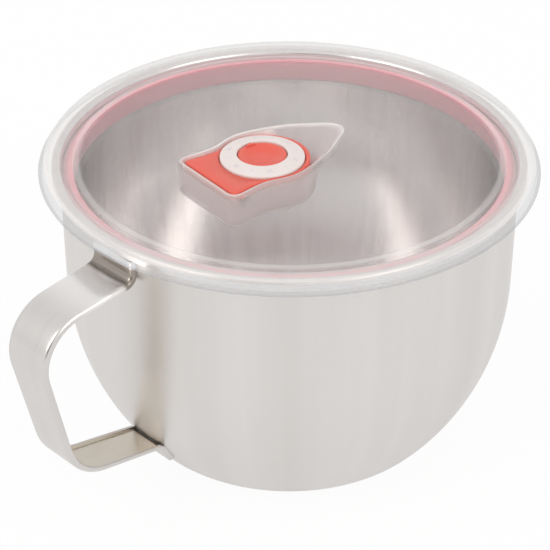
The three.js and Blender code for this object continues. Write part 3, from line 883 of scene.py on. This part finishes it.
def makeMarks(m):
    shape = bmesh.new()
    slope = math.atan2(dial["rise"], dial["radius"] - dial["bore"])  # the ring's face climbs inwards
    top = flapTop + dial["proud"] + (dial["radius"] - m["radius"]) * math.tan(slope)
    step = 360 / len(m["numbers"])
    lie = Matrix.Translation((0, m["radius"] * mm, 0)) @ Matrix.Rotation(-slope, 4, "X")
    for k, number in enumerate(m["numbers"]):
        words = bpy.data.curves.new("number", "FONT")
        words.body = number
        words.size = m["size"] * mm
        words.align_x = "CENTER"
        words.align_y = "CENTER"
        words.extrude = m["thick"] * mm
        holder = bpy.data.objects.new("number", words)
        flat = bpy.data.meshes.new_from_object(holder)
        turn = math.radians(m["start"] - step * k)
        centre = Matrix.Translation((dial["x"] * mm, 0, top * mm))
        flat.transform(centre @ Matrix.Rotation(turn - math.pi / 2, 4, "Z") @ lie)
        shape.from_mesh(flat)
        bpy.data.objects.remove(holder)
        bpy.data.curves.remove(words)
        bpy.data.meshes.remove(flat)
        between = Matrix.Rotation(turn - math.radians(90 + step / 2), 4, "Z")
        bmesh.ops.create_cone(
            shape, cap_ends=True, segments=16, radius1=m["dot"] * mm, radius2=m["dot"] * mm,
            depth=2 * m["thick"] * mm, matrix=centre @ between @ lie,
        )
    turnLid(shape)
    return addPiece("dialNumbers", shape, [finishes["ink"]], "dial", None, sharp=30)


# dished hub with a pointer corner, and the plug under the flap

hub = {
    "rise": 1.7, "dish": 1.15, "dishEdge": 0.3, "dishFlat": 0.55, "dishRound": 4, "rimWidth": 1.4,
    "stem": 2, "pointerHalf": 2, "pointerRise": 0.6, "pointerTurn": 86.6, "pointerEdge": 0.2,
    "pointerGap": 0.05, "steps": 96,
}
vent = {
    "body": 4.5, "flange": 6.5, "flangeHeight": 1.6, "flangeEdge": 0.4, "noseTop": 2.9, "noseTip": 1.6,
    "nose": 1.9, "steps": 64,
}


def makeHub(h):
    radius = dial["bore"] - fitGap
    inner = radius - h["rimWidth"]
    bottom = flapTop + fitGap
    top = flapTop + h["rise"]
    dishZ = top - h["dish"]
    stemEnd = floorZ + 2 * fitGap + vent["flangeHeight"]
    shape = bmesh.new()
    pen = Pen(shape, 0, stemEnd)
    pen.follow([
        (h["stem"], stemEnd, 0.3), (h["stem"], bottom), (radius, bottom, 0.2), (radius, top, 0.35),
        (inner + h["dishEdge"], top, 0.5), (inner * h["dishFlat"], dishZ, h["dishRound"]), (0, dishZ),
    ], 6)
    turnRound(shape, h["steps"])
    half = h["pointerHalf"]
    wedge = [Vector(point) for point in ((inner, -half), (radius - h["pointerGap"], 0), (inner, half))]
    dish = set(shape.verts)
    skin(shape, [raised(wedge, z) for z in (bottom + fitGap, top + h["pointerRise"])])
    bmesh.ops.holes_fill(shape, edges=[edge for edge in shape.edges if edge.is_boundary])
    tooth = [vert for vert in shape.verts if vert not in dish]
    turn = Matrix.Rotation(math.radians(h["pointerTurn"]), 3, "Z")
    bmesh.ops.rotate(shape, verts=tooth, matrix=turn)
    ridges = {edge for vert in tooth for edge in vert.link_edges}
    bmesh.ops.bevel(
        shape, geom=list(ridges), offset=h["pointerEdge"] * mm, segments=3, profile=0.5,
        affect="EDGES", material=-1,
    )
    closeUp(shape)
    bmesh.ops.translate(shape, verts=shape.verts, vec=(dial["x"] * mm, 0, 0))
    turnLid(shape)
    return addPiece("pointerHub", shape, [finishes["red"]], "flap", "pointer_hub", sharp=50)


def makePlug(v):
    bottom = floorZ + fitGap
    flangeTop = bottom + v["flangeHeight"]
    top = flapTop - flap["plate"] - fitGap
    socket = hub["stem"] + fitGap
    shape = bmesh.new()
    pen = Pen(shape, 0, bottom - v["nose"])
    pen.follow([
        (v["noseTip"], bottom - v["nose"], 0.4), (v["noseTop"], bottom, 0.2), (v["flange"], bottom, 0.3),
        (v["flange"], flangeTop - v["flangeEdge"], 0.3), (v["body"], flangeTop, 0.4),
        (v["body"], top, 0.3), (socket, top, 0.2), (socket, flangeTop, 0.2), (0, flangeTop),
    ], 4)
    turnRound(shape, v["steps"])
    bmesh.ops.translate(shape, verts=shape.verts, vec=(dial["x"] * mm, 0, 0))
    turnLid(shape)
    return addPiece("ventPlug", shape, [finishes["seal"]], "flap", "vent_plug", sharp=50)


makeFlap(flap)
makeDial(dial)
makeMarks(marks)
makeHub(hub)
makePlug(vent)
print("pieces made")


# studio: white floor, white surroundings and soft lamps

studio = {
    "floorSize": 6, "floorDrop": 0.2, "floorTone": (0.92, 0.92, 0.92, 1), "floorGlow": 0.93,
    "mirrorGlow": 0.7, "skyLight": 0.85, "mirrored": 0.84,
    "dim": 0.7, "dimPart": (-0.81, -0.53, 0.22), "dimFrom": (0.93, 0.985),  # left of the camera
}


def lightPath(finish, name):
    return finish.node("LightPath", {}, {}, name)


def makeFloor(s):
    shape = bmesh.new()
    bmesh.ops.create_grid(shape, x_segments=2, y_segments=2, size=s["floorSize"] / 2)
    bmesh.ops.translate(shape, verts=shape.verts, vec=(0, 0, -s["floorDrop"] * mm))
    mesh = bpy.data.meshes.new("floor")
    shape.to_mesh(mesh)
    shape.free()
    finish = newFinish("whiteFloor")
    plain = finish.node("BsdfDiffuse", {}, {"Color": s["floorTone"]})
    mirrored = lightPath(finish, "Is Glossy Ray")
    strength = 1 - mirrored * (1 - s["mirrored"])
    glow = finish.node("Emission", {}, {"Color": plainWhite, "Strength": strength})
    seen = lightPath(finish, "Is Camera Ray") + lightPath(finish, "Is Transmission Ray")
    share = seen * s["floorGlow"] + mirrored * s["mirrorGlow"]
    surface = finish.node("MixShader", {}, {0: share, 1: plain, 2: glow})
    mesh.materials.append(finish.show("Material", surface))
    floor = bpy.data.objects.new("floor", mesh)
    scene.collection.objects.link(floor)


def makeWorld(s):
    scene.world = bpy.data.worlds.new("studio")
    finish = Finish(scene.world)
    light = finish.node("Background", {}, {"Color": plainWhite, "Strength": s["skyLight"]})
    white = finish.node("Background", {}, {"Color": plainWhite, "Strength": 1})
    direction = finish.node("TexCoord", {}, {}, "Generated")
    near = finish.node("VectorMath", {"operation": "DOT_PRODUCT"}, {
        0: direction, 1: s["dimPart"],
    }, "Value")
    spot = finish.node("MapRange", {"interpolation_type": "SMOOTHSTEP"}, {
        "Value": near, "From Min": s["dimFrom"][0], "From Max": s["dimFrom"][1],
    })
    bright = s["mirrored"] - spot * s["dim"]  # what the steel mirrors
    room = finish.node("Background", {}, {"Color": plainWhite, "Strength": bright})
    seen = lightPath(finish, "Is Camera Ray") + lightPath(finish, "Is Transmission Ray")
    base = finish.node("MixShader", {}, {0: seen, 1: light, 2: white})
    mirrored = lightPath(finish, "Is Glossy Ray")
    finish.show("World", finish.node("MixShader", {}, {0: mirrored, 1: base, 2: room}))


lampTone = (1, 0.94, 0.87)
lampAim = Vector((0, 0, 0.05))
lamps = [
    {"name": "leftLamp", "place": (-1.2, 0.25, 0.93), "size": 0.9, "watts": 5.5},
    {"name": "rightLamp", "place": (0.06, -1.23, 0.92), "size": 0.9, "watts": 4.5},
]


def makeLamps(rows):
    for row in rows:
        data = bpy.data.lights.new(row["name"], "AREA")
        data.size = row["size"]
        data.energy = row["watts"]
        data.color = lampTone
        lamp = bpy.data.objects.new(row["name"], data)
        lamp.location = row["place"]
        lamp.rotation_euler = (lampAim - lamp.location).to_track_quat("-Z", "Y").to_euler()
        scene.collection.objects.link(lamp)


camera = {
    "distance": 600, "rise": 29.023, "azimuth": -45.06, "pan": 0.515, "tilt": 4.009,
    "lens": 119.4, "sensor": 36, "clipStart": 0.01,
}


def makeCamera(c):
    data = bpy.data.cameras.new("camera")
    data.lens = c["lens"]
    data.sensor_width = c["sensor"]
    data.clip_start = c["clipStart"]
    view = bpy.data.objects.new("camera", data)
    rise = math.radians(c["rise"])
    turn = math.radians(c["azimuth"])
    flat = c["distance"] * mm * math.cos(rise)
    height = bandZ * mm + c["distance"] * mm * math.sin(rise)
    view.location = (flat * math.sin(turn), -flat * math.cos(turn), height)
    view.rotation_euler = (
        math.radians(90 - c["rise"] - c["tilt"]), 0, turn + math.radians(c["pan"]),
    )
    scene.collection.objects.link(view)
    scene.camera = view


makeFloor(studio)
makeWorld(studio)
makeLamps(lamps)
makeCamera(camera)
scene.view_settings.view_transform = "Standard"
print("studio set")
